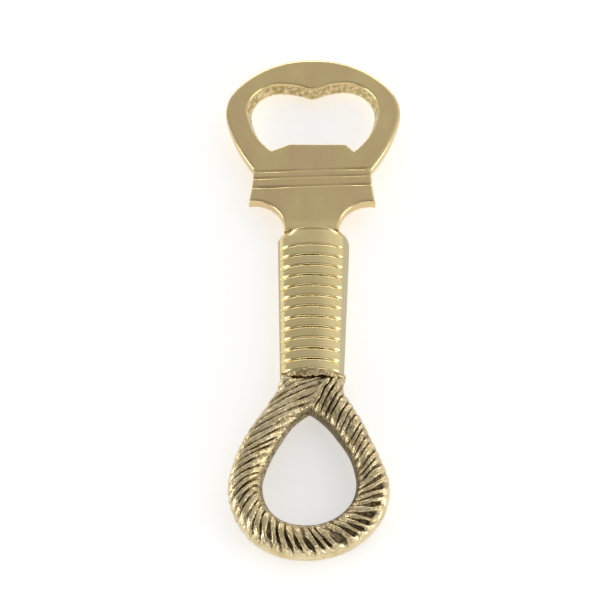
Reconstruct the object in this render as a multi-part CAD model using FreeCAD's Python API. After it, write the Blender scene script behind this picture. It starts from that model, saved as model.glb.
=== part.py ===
"""Cast brass bottle opener with a rope-eye handle: three castings brazed end to end.

Frame, in millimetres: +Y runs along the handle towards the head, +X to the right,
+Z up out of the flat face of the head. The origin is the middle of the whole object.
"""
import FreeCAD, Part
import math
import os

Vec = FreeCAD.Vector

# ---- Head: a flat plate with the cap opening -------------------------------------------
HEAD_TOP_Y = 69.5
PLATE_THICKNESS = 4.0
CROWN_RADIUS = 26.8              # arc over the top of the head
SIDE_CENTRE = (11.3, 52.6)       # arc round each side of the head
SIDE_RADIUS = 11.6
SIDE_ARC_END = -15.0             # degrees, where the side arc gives way to the flank
WAIST = (15.2, 34.8)             # notch between the head and the flared collar
FLANK_CROWN = 0.8                # how far the flank above the waist bulges outwards
TIP = (16.2, 25.3)               # sharp lower corner of the flare
FLARE_HOLLOW = 0.25              # how far the sides of the flare curve inwards
SHOULDER_CENTRE = (14.8, 17.6)   # arc scooped out under each tip
SHOULDER_MIDDLE = 130.0          # degrees, a point half way round the scoop
NECK_HALF_WIDTH = 6.95
EDGE_ROUNDING = 0.8

# ---- Cap opening: wider on the front face than on the back -------------------------------
LOBE_CENTRE_X = 8.35
LOBE_CENTRE_Y = 52.7
OPENING_HALF_WIDTH = 17.3
LOBE_TOP_Y = {"left": 61.3, "right": 61.8}
CUSP_Y = 59.4                    # point that hangs down between the two lobes
OPENING_LOW_SIDE = (15.2, 46.0)  # point on the arc from the side down to the notch
ROOF_SAG = 0.27                  # share of its fall that the roof has made half way to the cusp
LIP_Y = 42.6                     # straight lip that catches the rim of the cap
LIP_CORNER_X = {"left": 6.1, "right": 8.6}
LIP_NOTCH = (10.7, 40.5)
OPENING_DRAFT = 1.0              # the back outline is this much smaller all round
LOW_SIDE_NORMAL = (0.9, 0.4)     # rough outward direction of the wall at the low side
CUTTER_OVERRUN = 0.5             # cutters reach this far past a face

# ---- Three grooves across the waist, on both faces ---------------------------------------
GROOVE_MIDDLE_Y = (34.8, 32.8, 30.1)
GROOVE_SLANT = 2.4               # degrees, rising to the right
GROOVE_WIDTH = 0.8
GROOVE_DEPTH = 0.4

# ---- Ribbed grip: an oval sleeve ----------------------------------------------------------
# A profile lists (share of the height, depth cut from the plain oval) from the bottom up.
GRIP_OFFSET_X = 0.5              # the sleeve sits a little to the right of the head's axis
GRIP_TOP_Y = 17.3
GRIP_BOTTOM_Y = -22.8
RIB_COUNT = 12
RIB_PITCH = 2.87
RIB_DEPTH = 0.55
RIB_PROFILE = ((0.0, RIB_DEPTH), (0.2, 0.0), (0.8, 0.0))
COLLAR_PROFILE = ((0.0, RIB_DEPTH), (0.12, 0.0), (0.4, 0.2), (0.65, 0.8), (0.85, 1.7), (1.0, 2.9))
COLLAR_SIDE_CUT = 0.7            # the collar rounds off less at its sides than on its crown
GRIP_HALF_WIDTH_TOP = 9.65
GRIP_HALF_WIDTH_BOTTOM = 8.25
GRIP_HALF_HEIGHT_TOP = 5.4
GRIP_HALF_HEIGHT_BOTTOM = 5.0
SIDE_GRIND = 0.35                # taken off each side, which leaves a smooth narrow band
FACE_HALF_HEIGHT = 4.72          # the ribs' crowns are ground flat and parallel at this height

# ---- Rope eye: a round bar bent into a teardrop -------------------------------------------
ROPE_RADIUS = 4.15
ROPE_FACE_HEIGHT = 4.0           # the front and back of the rope are dressed slightly flat
BOTTOM_CENTRE_Y = -49.45
BOTTOM_RADIUS = 15.9
BOTTOM_ARC_END = -40.0           # degrees from +X, where the bottom arc meets the side arc
BEND_RADIUS = 12.6
BEND_ARC_END = 15.5
LEG_RADIUS = 39.0
LEG_ARC_END = 32.3               # the straight legs lean this much
APEX_Y = -32.8                   # top corner of the eye
CROTCH_END = (6.6, -39.3)        # where the web between the legs runs out
CROTCH_SIDE = (3.6, -35.7)
CROTCH_HALF_HEIGHT = 3.0
CROTCH_OVERLAP = 3.0             # the web runs this far into each leg
THROAT_HALF_WIDTH = (7.3, 8.0, 5.0)
THROAT_HALF_HEIGHT = (4.2, 4.2, 4.0)
THROAT_Y = (GRIP_BOTTOM_Y, -26.5, -31.0)

# ---- Joints inside the grip ----------------------------------------------------------------
TANG_HALF_WIDTH = 4.8
TANG_HALF_HEIGHT = 1.8
TANG_END_Y = -2.0
SPIGOT_RADIUS = 2.9
SPIGOT_END_Y = -10.0
BRAZE_GAP = 0.15                 # film of brazing metal round the tang and the spigot
BEAD_RADIUS = 0.75               # bead left showing round the lower joint
BEAD_INSET = 0.1                 # its crown lies this far below the grip's groove
BEAD_PROFILE = ((-1.0, 0.45), (-0.5, 0.0), (0.5, 0.0), (1.0, 0.45))


def polar(centre, radius, degrees):
    """Point at an angle on a circle, as an (x, y) pair."""
    angle = math.radians(degrees)
    return (centre[0] + radius * math.cos(angle), centre[1] + radius * math.sin(angle))


def mirrored(point):
    return (-point[0], point[1])


def arc(start, middle, end, z=0.0):
    return Part.Arc(Vec(*start, z), Vec(*middle, z), Vec(*end, z)).toShape()


def line(start, end, z=0.0):
    return Part.makeLine(Vec(*start, z), Vec(*end, z))


def outline_face(edges):
    return Part.Face(Part.Wire(Part.__sortEdges__(edges)))


def bulged_middle(start, end, bulge):
    """Middle point of an arc that stands off its chord by bulge, to the right of start-end."""
    run = (end[0] - start[0], end[1] - start[1])
    length = math.hypot(*run)
    return ((start[0] + end[0]) / 2 + bulge * run[1] / length,
            (start[1] + end[1]) / 2 - bulge * run[0] / length)


def head_side(side):
    """Edges of one side of the head's outline, from the top of the crown to the neck."""
    crown_centre = (0.0, HEAD_TOP_Y - CROWN_RADIUS)
    lean = math.degrees(math.atan2(SIDE_CENTRE[1] - crown_centre[1], SIDE_CENTRE[0]))
    crown_end = polar(SIDE_CENTRE, SIDE_RADIUS, lean)
    crown_middle = polar(crown_centre, CROWN_RADIUS, (90 + lean) / 2)
    side_middle = polar(SIDE_CENTRE, SIDE_RADIUS, (lean + SIDE_ARC_END) / 2)
    side_end = polar(SIDE_CENTRE, SIDE_RADIUS, SIDE_ARC_END)
    flank_middle = bulged_middle(side_end, WAIST, -FLANK_CROWN)
    flare_middle = bulged_middle(WAIST, TIP, FLARE_HOLLOW)
    shoulder_radius = SHOULDER_CENTRE[0] - NECK_HALF_WIDTH
    shoulder_middle = polar(SHOULDER_CENTRE, shoulder_radius, SHOULDER_MIDDLE)
    neck_top = (NECK_HALF_WIDTH, SHOULDER_CENTRE[1])
    neck_foot = (NECK_HALF_WIDTH, GRIP_TOP_Y)
    top = (0.0, HEAD_TOP_Y)
    runs = [
        (top, crown_middle, crown_end),
        (crown_end, side_middle, side_end),
        (side_end, flank_middle, WAIST),
        (WAIST, flare_middle, TIP),
        (TIP, shoulder_middle, neck_top),
    ]
    flip = mirrored if side == "left" else tuple
    edges = [arc(*[flip(p) for p in run]) for run in runs]
    edges.append(line(flip(neck_top), flip(neck_foot)))
    return edges


def opening_side(side, shrink, z):
    """Edges of one side of the cap opening, moved inwards by shrink, at height z."""
    lobe_top = (LOBE_CENTRE_X, LOBE_TOP_Y[side] - shrink)
    wide = (OPENING_HALF_WIDTH - shrink, LOBE_CENTRE_Y)
    rise = lobe_top[1] - LOBE_CENTRE_Y
    reach = wide[0] - LOBE_CENTRE_X
    half = math.sqrt(0.5)
    lobe_middle = (LOBE_CENTRE_X + reach * half, LOBE_CENTRE_Y + rise * half)
    low_side = (OPENING_LOW_SIDE[0] - shrink * LOW_SIDE_NORMAL[0],
                OPENING_LOW_SIDE[1] + shrink * LOW_SIDE_NORMAL[1])
    notch = (LIP_NOTCH[0], LIP_NOTCH[1] + shrink)
    corner = (LIP_CORNER_X[side], LIP_Y + shrink)
    cusp = (0.0, CUSP_Y - shrink)
    roof_middle = (LOBE_CENTRE_X / 2, lobe_top[1] - (lobe_top[1] - cusp[1]) * ROOF_SAG)
    flip = mirrored if side == "left" else tuple
    return [
        arc(flip(cusp), flip(roof_middle), flip(lobe_top), z),
        arc(flip(lobe_top), flip(lobe_middle), flip(wide), z),
        arc(flip(wide), flip(low_side), flip(notch), z),
        line(flip(notch), flip(corner), z),
    ]


def opening_wire(shrink, z):
    left = opening_side("left", shrink, z)
    right = opening_side("right", shrink, z)
    lip = line((-LIP_CORNER_X["left"], LIP_Y + shrink), (LIP_CORNER_X["right"], LIP_Y + shrink), z)
    return Part.Wire(right + [lip] + left[::-1])


def opening_cutter():
    """Tapered plug that cuts the cap opening, reaching just past both faces."""
    reach = PLATE_THICKNESS / 2 + CUTTER_OVERRUN
    extra = CUTTER_OVERRUN * OPENING_DRAFT / PLATE_THICKNESS
    front = opening_wire(-extra, reach)
    back = opening_wire(OPENING_DRAFT + extra, -reach)
    return Part.makeLoft([back, front], True, True)


def groove_cutter(middle_y):
    """Vee-shaped bars that cut one groove across the front and the back faces."""
    half = GROOVE_WIDTH / 2
    reach = WAIST[0] + CUTTER_OVERRUN
    face_z = PLATE_THICKNESS / 2
    bars = []
    for sign in (1, -1):
        corners = [
            Vec(-reach, middle_y - half, sign * face_z),
            Vec(-reach, middle_y + half, sign * face_z),
            Vec(-reach, middle_y, sign * (face_z - GROOVE_DEPTH)),
        ]
        # the bar stands clear of the face so that the cut leaves no skin
        lifted = [corner + Vec(0, 0, sign * CUTTER_OVERRUN) for corner in corners[:2]]
        profile = Part.makePolygon([corners[0], lifted[0], lifted[1], corners[1], corners[2], corners[0]])
        bar = Part.Face(profile).extrude(Vec(2 * reach, 0, 0))
        bar.rotate(Vec(0, middle_y, 0), Vec(0, 0, 1), GROOVE_SLANT)
        bars.append(bar)
    return bars


def rounded_disc():
    """Upper plate of the head, above the waist, with soft outer edges on both faces."""
    base = line(mirrored(WAIST), WAIST)
    arcs = head_side("right")[:3] + head_side("left")[:3]
    face = outline_face(arcs + [base])
    face.translate(Vec(0, 0, -PLATE_THICKNESS / 2))
    disc = face.extrude(Vec(0, 0, PLATE_THICKNESS))
    rims = [edge for edge in disc.Edges if edge.BoundBox.ZLength < 1e-6 and edge.BoundBox.YLength > 1e-3]
    return disc.makeFillet(EDGE_ROUNDING, rims)


def flare():
    """Lower plate of the head: flared sides, scooped shoulders and the neck."""
    top = line(mirrored(WAIST), WAIST)
    foot = line((-NECK_HALF_WIDTH, GRIP_TOP_Y), (NECK_HALF_WIDTH, GRIP_TOP_Y))
    face = outline_face(head_side("right")[3:] + head_side("left")[3:] + [top, foot])
    face.translate(Vec(0, 0, -PLATE_THICKNESS / 2))
    return face.extrude(Vec(0, 0, PLATE_THICKNESS))


def tang(clearance=0.0):
    """Flat tongue under the neck that goes down inside the grip."""
    half_width = TANG_HALF_WIDTH + clearance
    half_height = TANG_HALF_HEIGHT + clearance
    bottom = TANG_END_Y - clearance
    return Part.makeBox(2 * half_width, GRIP_TOP_Y - bottom, 2 * half_height,
                        Vec(-half_width, bottom, -half_height))


def opener_head():
    cutters = [opening_cutter()]
    for middle_y in GROOVE_MIDDLE_Y:
        cutters += groove_cutter(middle_y)
    plate = rounded_disc().fuse(flare())
    return plate.cut(cutters).fuse(tang()).removeSplitter()


def oval(y, half_width, half_height, centre_x=GRIP_OFFSET_X):
    """Closed oval in the plane square to the handle."""
    centre = Vec(centre_x, y, 0)
    curve = Part.Ellipse(centre + Vec(half_width, 0, 0), centre + Vec(0, 0, half_height), centre)
    return Part.Wire([curve.toShape()])


def grip_half_sizes(y):
    """Half width and half height of the plain sleeve at y: it tapers evenly down the handle."""
    share = (GRIP_TOP_Y - y) / (GRIP_TOP_Y - GRIP_BOTTOM_Y)
    half_width = GRIP_HALF_WIDTH_TOP + share * (GRIP_HALF_WIDTH_BOTTOM - GRIP_HALF_WIDTH_TOP)
    half_height = GRIP_HALF_HEIGHT_TOP + share * (GRIP_HALF_HEIGHT_BOTTOM - GRIP_HALF_HEIGHT_TOP)
    return half_width, half_height


def grip_sections():
    """Ovals up the sleeve: twelve ribs with a groove at each end, then a rounded collar."""
    sections = []
    for rib in range(RIB_COUNT):
        foot = GRIP_BOTTOM_Y + rib * RIB_PITCH
        for share, cut in RIB_PROFILE:
            y = foot + share * RIB_PITCH
            half_width, half_height = grip_half_sizes(y)
            sections.append(oval(y, half_width - cut, half_height - cut))
    collar_foot = GRIP_BOTTOM_Y + RIB_COUNT * RIB_PITCH
    collar_height = GRIP_TOP_Y - collar_foot
    for share, cut in COLLAR_PROFILE:
        y = collar_foot + share * collar_height
        half_width, half_height = grip_half_sizes(y)
        sections.append(oval(y, half_width - COLLAR_SIDE_CUT * cut, half_height - cut))
    return sections


def tapered_slab(across, half_size_low, half_size_high):
    """Endless slab that narrows down the grip; across is the direction of its thickness."""
    along = Vec(0, 1, 0).cross(across)
    reach = GRIP_HALF_WIDTH_TOP + CUTTER_OVERRUN
    centre = Vec(GRIP_OFFSET_X, 0, 0) - along * reach
    low = centre + Vec(0, GRIP_BOTTOM_Y, 0)
    high = centre + Vec(0, GRIP_TOP_Y, 0)
    corners = [
        low - across * half_size_low,
        low + across * half_size_low,
        high + across * half_size_high,
        high - across * half_size_high,
    ]
    return Part.Face(Part.makePolygon(corners + corners[:1])).extrude(along * (2 * reach))


def ground_form():
    """Block that leaves a smooth band down each side of the grip and a flat on each face."""
    low_width, _ = grip_half_sizes(GRIP_BOTTOM_Y)
    high_width, _ = grip_half_sizes(GRIP_TOP_Y)
    sides = tapered_slab(Vec(1, 0, 0), low_width - SIDE_GRIND, high_width - SIDE_GRIND)
    faces = tapered_slab(Vec(0, 0, 1), FACE_HALF_HEIGHT, FACE_HALF_HEIGHT)
    return sides.common(faces)


def spigot(clearance=0.0):
    """Round peg on top of the rope eye that goes up inside the grip."""
    height = SPIGOT_END_Y + clearance - GRIP_BOTTOM_Y
    return Part.makeCylinder(SPIGOT_RADIUS + clearance, height,
                             Vec(GRIP_OFFSET_X, GRIP_BOTTOM_Y, 0), Vec(0, 1, 0))


def ribbed_grip():
    sleeve = Part.makeLoft(grip_sections(), True, True)
    sockets = [tang(BRAZE_GAP), spigot(BRAZE_GAP)]
    return sleeve.common(ground_form()).cut(sockets).cut(braze_bead())


def rope_arc(centre, radius, start, end):
    """Round bar bent along an arc from start to end, in degrees."""
    foot = polar(centre, radius, start)
    way = polar((0.0, 0.0), 1.0, start + 90)
    ring = Part.Circle(Vec(*foot, 0), Vec(*way, 0), ROPE_RADIUS)
    section = Part.Face(Part.Wire([ring.toShape()]))
    return section.revolve(Vec(*centre, 0), Vec(0, 0, 1), end - start)


def rope_half():
    """Right half of the rope eye: bottom arc, tight bend, long arc and straight leg."""
    bottom = (0.0, BOTTOM_CENTRE_Y)
    bend = polar(bottom, BOTTOM_RADIUS - BEND_RADIUS, BOTTOM_ARC_END)
    leg = polar(bend, BEND_RADIUS - LEG_RADIUS, BEND_ARC_END)
    leg_foot = Vec(*polar(leg, LEG_RADIUS, LEG_ARC_END), 0)
    leg_way = Vec(*polar((0.0, 0.0), 1.0, LEG_ARC_END + 90), 0)
    leg_length = (THROAT_Y[1] - leg_foot.y) / leg_way.y
    return [
        rope_arc(bottom, BOTTOM_RADIUS, -90, BOTTOM_ARC_END),
        rope_arc(bend, BEND_RADIUS, BOTTOM_ARC_END, BEND_ARC_END),
        rope_arc(leg, LEG_RADIUS, BEND_ARC_END, LEG_ARC_END),
        Part.makeCylinder(ROPE_RADIUS, leg_length, leg_foot, leg_way),
    ]


def crotch_web():
    """Web that fills the corner between the two legs down to the apex of the eye."""
    apex = (0.0, APEX_Y)
    top = (0.0, THROAT_Y[1])
    outer = (CROTCH_END[0] + CROTCH_OVERLAP, CROTCH_END[1])
    edges = []
    for flip in (tuple, mirrored):
        edges += [
            arc(apex, flip(CROTCH_SIDE), flip(CROTCH_END)),
            line(flip(CROTCH_END), flip(outer)),
            line(flip(outer), top),
        ]
    face = outline_face(edges)
    face.translate(Vec(0, 0, -CROTCH_HALF_HEIGHT))
    return face.extrude(Vec(0, 0, 2 * CROTCH_HALF_HEIGHT))


def throat():
    """Oval root where the two legs merge under the grip."""
    rings = []
    for y, half_width, half_height in zip(THROAT_Y, THROAT_HALF_WIDTH, THROAT_HALF_HEIGHT):
        offset = GRIP_OFFSET_X if y == GRIP_BOTTOM_Y else 0.0
        rings.append(oval(y, half_width, half_height, offset))
    return Part.makeLoft(rings, True, False)


def rope_loop():
    right = rope_half()
    left = [piece.mirror(Vec(0, 0, 0), Vec(1, 0, 0)) for piece in right]
    bar = right[0].multiFuse(right[1:] + left)
    reach = 2 * HEAD_TOP_Y
    slab = Part.makeBox(2 * reach, reach, 2 * ROPE_FACE_HEIGHT, Vec(-reach, -reach, -ROPE_FACE_HEIGHT))
    eye = bar.common(slab).fuse(crotch_web()).fuse(throat()).fuse(spigot())
    return eye.cut(braze_bead()).removeSplitter()


def braze_bead():
    """Raised bead of brazing metal let into both castings round their joint."""
    width, height = (size - BEAD_INSET for size in grip_half_sizes(GRIP_BOTTOM_Y))
    width -= SIDE_GRIND
    height -= RIB_DEPTH
    rings = []
    for along, cut in BEAD_PROFILE:
        rings.append(oval(GRIP_BOTTOM_Y + along * BEAD_RADIUS, width - cut, height - cut))
    core = Part.Face(oval(GRIP_BOTTOM_Y - BEAD_RADIUS, width - BEAD_RADIUS, height - BEAD_RADIUS))
    return Part.makeLoft(rings, True, True).cut(core.extrude(Vec(0, 2 * BEAD_RADIUS, 0)))


def braze_film(socket, peg):
    """Thin layer of brazing metal that fills the gap between a peg and its socket."""
    return socket.cut(peg)


def main():
    os.makedirs("parts", exist_ok=True)
    shapes = {
        "opener_head": opener_head(),
        "ribbed_grip": ribbed_grip(),
        "rope_loop": rope_loop(),
        "head_joint_braze": braze_film(tang(BRAZE_GAP), tang()),
        "loop_joint_braze": braze_film(spigot(BRAZE_GAP), spigot()),
        "seam_bead": braze_bead(),
    }
    for name, shape in shapes.items():
        box = shape.optimalBoundingBox()
        print(name, "solids", len(shape.Solids), "valid", shape.isValid(),
              "volume %.1f" % shape.Volume, "z %.2f %.2f" % (box.ZMin, box.ZMax),
              "y %.2f %.2f" % (box.YMin, box.YMax), "x %.2f %.2f" % (box.XMin, box.XMax))
        shape.exportStep("parts/" + name + ".step")


main()
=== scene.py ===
"""Looks of a cast brass bottle opener: satin head, ribbed grip, rope eye and braze bead."""
import math

import bmesh
import bpy
import numpy as np
from mathutils import Matrix, Vector
from mathutils.geometry import delaunay_2d_cdt


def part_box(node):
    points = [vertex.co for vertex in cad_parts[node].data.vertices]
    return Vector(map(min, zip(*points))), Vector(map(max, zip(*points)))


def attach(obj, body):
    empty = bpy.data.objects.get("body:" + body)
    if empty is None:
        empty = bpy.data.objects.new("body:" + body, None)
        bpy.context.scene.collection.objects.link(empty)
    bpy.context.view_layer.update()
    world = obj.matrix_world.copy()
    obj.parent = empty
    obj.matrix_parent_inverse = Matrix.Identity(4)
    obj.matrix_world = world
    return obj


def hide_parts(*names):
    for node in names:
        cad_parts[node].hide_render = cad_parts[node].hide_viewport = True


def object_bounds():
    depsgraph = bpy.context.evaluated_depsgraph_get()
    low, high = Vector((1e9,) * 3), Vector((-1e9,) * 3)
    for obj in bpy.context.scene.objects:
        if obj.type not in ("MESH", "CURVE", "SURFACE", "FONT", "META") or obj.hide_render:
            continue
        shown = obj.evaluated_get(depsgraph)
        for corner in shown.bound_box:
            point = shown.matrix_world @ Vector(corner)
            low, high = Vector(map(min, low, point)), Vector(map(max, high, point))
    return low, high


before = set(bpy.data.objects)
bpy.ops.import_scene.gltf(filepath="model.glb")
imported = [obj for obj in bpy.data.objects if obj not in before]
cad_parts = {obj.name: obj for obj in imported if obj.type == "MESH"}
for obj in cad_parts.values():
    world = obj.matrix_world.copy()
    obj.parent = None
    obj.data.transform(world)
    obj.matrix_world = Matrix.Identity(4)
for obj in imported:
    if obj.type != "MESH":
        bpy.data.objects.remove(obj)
CAD_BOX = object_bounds()
MM = 0.001
WELD = 0.002                     # points closer than this become one
CHUNK = 2000                     # points handled at a time in the distance searches
ALMOST_ONE = 0.9999              # keeps the ends of the ovals off a zero slope

# ---- What the frame says, in millimetres ---------------------------------------------------------
HEAD_LOW, HEAD_HIGH = (np.array(corner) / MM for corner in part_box("opener_head"))
GRIP_LOW, GRIP_HIGH = (np.array(corner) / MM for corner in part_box("ribbed_grip"))
LOOP_LOW, LOOP_HIGH = (np.array(corner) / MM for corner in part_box("rope_loop"))
BEAD_LOW, BEAD_HIGH = (np.array(corner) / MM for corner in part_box("seam_bead"))
HEAD_TOP_Y = HEAD_HIGH[1]
TANG_END_Y = HEAD_LOW[1]
FACE_Z = HEAD_HIGH[2]
GRIP_TOP_Y = GRIP_HIGH[1]
GRIP_BOTTOM_Y = GRIP_LOW[1]
GRIP_CENTRE_X = (GRIP_LOW[0] + GRIP_HIGH[0]) / 2

# ---- Head ----------------------------------------------------------------------------------------
CROWN_RADIUS = 26.8
SIDE_CENTRE = (11.3, 52.6)
SIDE_RADIUS = 11.6
SIDE_ARC_END = -15.0
WAIST = (15.2, 34.8)
FLANK_CROWN = 0.8
TIP = (16.2, 25.3)
FLARE_HOLLOW = 0.25
SHOULDER_CENTRE = (14.8, 17.6)
SHOULDER_MIDDLE = 130            # degrees, half way round the scoop
NECK_HALF_WIDTH = 6.95
NECK_FOOT_Y = 16.9
NECK_SWELL = 0.35                # the neck thickens this much before it enters the grip
NECK_SWELL_TOP_Y = 20.2
TANG_HALF_WIDTH = 4.8
TANG_HALF_HEIGHT = 1.8
ROUND_CROWN = 0.9                # rounding of the long outer edges
ROUND_TOP = 1.5                  # and of the middle of the crown
BACK_ROUNDING = 1.8              # the back edges are that much rounder than the front ones
ROUND_MOST = 1.8                 # but never more than this
ROUND_FLARE = 0.45               # also the tang's
ROUND_SHOULDER = 0.8
ROUND_LIP = 0.3
ROUND_ROOF = 0.65
EDGE_STEPS = (16, 32, 48, 64, 78, 90)  # degrees round an edge, one ring of points each
PLATE_GRID = 0.5                 # spacing of the plate's mesh
ROOF_Y = 52.0                    # the opening's edge is rounder above this height
CUSP_BLEND = 1.5                 # the cusp between the lobes is blunt over this half width

# ---- Cap opening ---------------------------------------------------------------------------------
LOBE_CENTRE = (8.35, 52.7)
OPENING_HALF_WIDTH = 17.3
LOBE_TOP_Y = {-1: 61.3, 1: 61.8}
CUSP_Y = 59.4
ROOF_SAG = 0.27
OPENING_LOW_SIDE = (15.2, 46.0)
LOW_SIDE_NORMAL = (0.9, 0.4)
LIP_Y = 42.6
LIP_CORNER_X = {-1: 6.1, 1: 8.6}
LIP_NOTCH = (10.7, 40.5)
OPENING_DRAFT = 1.0
WALL_ROWS = 7                    # rows of points from face to face
WALL_ROUGHNESS = 0.09            # the opening's wall is as sawn
RIM_MARK = 0.2                   # how much of the rough wall's look the outer rim has

# ---- Grooves across the waist --------------------------------------------------------------------
GROOVE_MIDDLE_Y = (34.8, 32.8, 30.1)
GROOVE_SLANT = math.radians(2.4)
GROOVE_HALF_WIDTH = 0.5
GROOVE_DEPTH = 0.32
GROOVE_ROWS = (0, 0.25, 0.5, 0.75, 1.0, 1.3)  # rows of points, in groove half widths

# ---- Ribbed grip ---------------------------------------------------------------------------------
RIB_COUNT = 12
RIB_PITCH = 2.87
RIB_SHOULDER = 0.75              # half width of the rounded valley between two ribs
RIB_DEPTH = 0.5
COLLAR_FOOT_Y = GRIP_BOTTOM_Y + RIB_COUNT * RIB_PITCH
GRIP_HALF_HEIGHT = (GRIP_HIGH[2] - 0.1, GRIP_HIGH[2] + 0.06)
GRIP_LEFT = (7.9, 9.15)          # from the grip's middle to its left side, bottom and top
GRIP_RIGHT = (7.75, 9.2)
COLLAR_EDGE_Y = 12.0             # above this the collar falls towards the neck
COLLAR_FALL = 0.95
COLLAR_TIP = 0.6                 # rounding of the collar's end
COLLAR_CORNER_Y = 14.5           # its left side turns in above this
COLLAR_SHADE_Y = (15.9, 16.6)  # painted shade: darker where the collar meets the neck, where the collar's shadow falls
OVAL_POWER, OVAL_SHOULDER = 2.3, 0.7  # crowned flat, with sides that fall away at about 45 degrees
RIPPLE = 0.075                   # fine file lines, three to a rib, deeper at the sides
RIPPLES_PER_RIB = 3
PORE_DEPTH = 0.3
GRIP_COLUMNS = 288
BAND_SHARE = {-1: 0.93, 1: 0.80}  # the ribs fade out past this share of the half width
BAND_FADE = {-1: 0.03, 1: 0.06}
BAND_MARK = 0.9                  # the worn bands at the sides are paler and duller

# ---- Rope eye ------------------------------------------------------------------------------------
ROPE_RADIUS = 4.15
BOTTOM_RADIUS = 15.9
BOTTOM_CENTRE_Y = LOOP_LOW[1] + ROPE_RADIUS + BOTTOM_RADIUS
BOTTOM_ARC_END = -40.0
BEND_RADIUS = 12.6
BEND_ARC_END = 15.5
LEG_RADIUS = 39.0
LEG_ARC_END = 32.3
APEX_Y = -32.8
CROTCH_SIDE = (3.6, -35.7)
CROTCH_END = (6.6, -39.3)
THROAT_HALF_WIDTH = 7.2
THROAT_OFFSET_X = 0.65
THROAT_OVERLAP = 0.2             # the throat reaches this far into the bead
THROAT_FOOT_Y = -27.0
FOOT_SAG = 0.65                  # the lower left of the eye hangs out a little
FOOT_PLACE = (-9.5, -62.5)
FOOT_SIZE = 7.0
LEG_SLIM = 0.75                  # and the right leg is thinner than the left
LEG_PLACE = (12.2, -43.0)
LEG_SIZE = 7.0
# places and sizes of the dark patches on the right leg and under the crotch
DARK_PATCHES = (((9.5, -35.5), 2.2), ((4.5, -31.5), 2.0), ((12.5, -49.5), 2.2), ((13.5, -39.0), 2.0))
SEAM_LEAN = 0.45                 # the legs meet on a line that leans to the right above the apex
ROPE_FACE = 4.05                 # the ridges are worn flat at this height
ROPE_GRID = 0.16                 # spacing of the rope mesh
ROPE_STEP = 0.25                 # spacing of the points on its centre line
ROPE_RINGS = (7, 14, 21, 28, 35, 42)  # degrees round the rope's section, one ring of points each
STRAND_SPACING = 1.55            # in the left leg
STRAND_WIDER = 0.35              # more than that from the lower left on
STRAND_NARROWER = 0.3            # and less again in the right leg
LAY_LEFT, LAY_REST = 31, 60      # degrees from the rope's line, at the left and everywhere else

# ---- Braze bead ----------------------------------------------------------------------------------
BEAD_RADIUS = 0.55
BEAD_BREADTH = 1.7               # it is that much broader along the handle than it is high
BEAD_DROP = 0.35                 # its middle lies this far below the grip's end
BEAD_SINK = (0.45, 0.48)         # its middle line inside the box, at the side and on the face
BEAD_COLUMNS, BEAD_ROWS = 240, 16


def polar(centre, radius, degrees):
    angle = math.radians(degrees)
    return (centre[0] + radius * math.cos(angle), centre[1] + radius * math.sin(angle))


def arc_through(start, middle, end, count):
    """Points of the arc through three points, without its last one."""
    (ax, ay), (bx, by), (cx, cy) = start, middle, end
    twice = 2 * (ax * (by - cy) + bx * (cy - ay) + cx * (ay - by))
    a2, b2, c2 = ax * ax + ay * ay, bx * bx + by * by, cx * cx + cy * cy
    ux = (a2 * (by - cy) + b2 * (cy - ay) + c2 * (ay - by)) / twice
    uy = (a2 * (cx - bx) + b2 * (ax - cx) + c2 * (bx - ax)) / twice
    first = math.atan2(ay - uy, ax - ux)
    half = math.remainder(math.atan2(by - uy, bx - ux) - first, 2 * math.pi)
    rest = math.remainder(math.atan2(cy - uy, cx - ux) - first - half, 2 * math.pi)
    angles = first + (half + rest) * np.arange(count) / count
    radius = math.hypot(ax - ux, ay - uy)
    return np.stack([ux + radius * np.cos(angles), uy + radius * np.sin(angles)], 1)


def line_points(start, end, count):
    """Points of a straight line, without its last one."""
    share = np.arange(count)[:, None] / count
    return np.array(start) * (1 - share) + np.array(end) * share


def bulged_middle(start, end, bulge):
    """Middle of a line, moved off it by the bulge."""
    run = (end[0] - start[0], end[1] - start[1])
    length = math.hypot(*run)
    return ((start[0] + end[0]) / 2 + bulge * run[1] / length,
            (start[1] + end[1]) / 2 - bulge * run[0] / length)


def smoothstep(low, high, value):
    share = np.clip((value - low) / (high - low), 0, 1)
    return share * share * (3 - 2 * share)


def lattice(ix, iy, seed):
    """A fixed pseudo-random value from 0 to 1 for each whole-number place."""
    mixed = np.sin(ix * 127.1 + iy * 311.7 + seed * 74.7) * 43758.5453
    return mixed - np.floor(mixed)


def noise(x, y, seed):
    """Smooth value noise from -1 to 1, with one lump per unit of x and y."""
    ix, iy = np.floor(x), np.floor(y)
    fx, fy = x - ix, y - iy
    fx, fy = fx * fx * (3 - 2 * fx), fy * fy * (3 - 2 * fy)
    low = lattice(ix, iy, seed) * (1 - fx) + lattice(ix + 1, iy, seed) * fx
    high = lattice(ix, iy + 1, seed) * (1 - fx) + lattice(ix + 1, iy + 1, seed) * fx
    return 2 * (low * (1 - fy) + high * fy) - 1


# ---- Flat pieces: a plan outline with rounded edges and a height for every point -----------------
def nearest(points, loop, values=None):
    """Distance from each point to a closed loop, and optionally a value carried by its edges."""
    start, run = loop, np.roll(loop, -1, 0) - loop
    length2 = np.maximum((run ** 2).sum(1), 1e-12)
    best = np.empty(len(points))
    carried = np.zeros(len(points))
    for first in range(0, len(points), CHUNK):
        part = points[first:first + CHUNK, None, :]
        along = np.clip(((part - start) * run).sum(2) / length2, 0, 1)
        gap = np.hypot(*np.moveaxis(part - start - along[..., None] * run, 2, 0))
        pick = gap.argmin(1)
        best[first:first + CHUNK] = gap[np.arange(len(pick)), pick]
        if values is not None:
            carried[first:first + CHUNK] = values[pick]
    return best, carried


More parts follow.
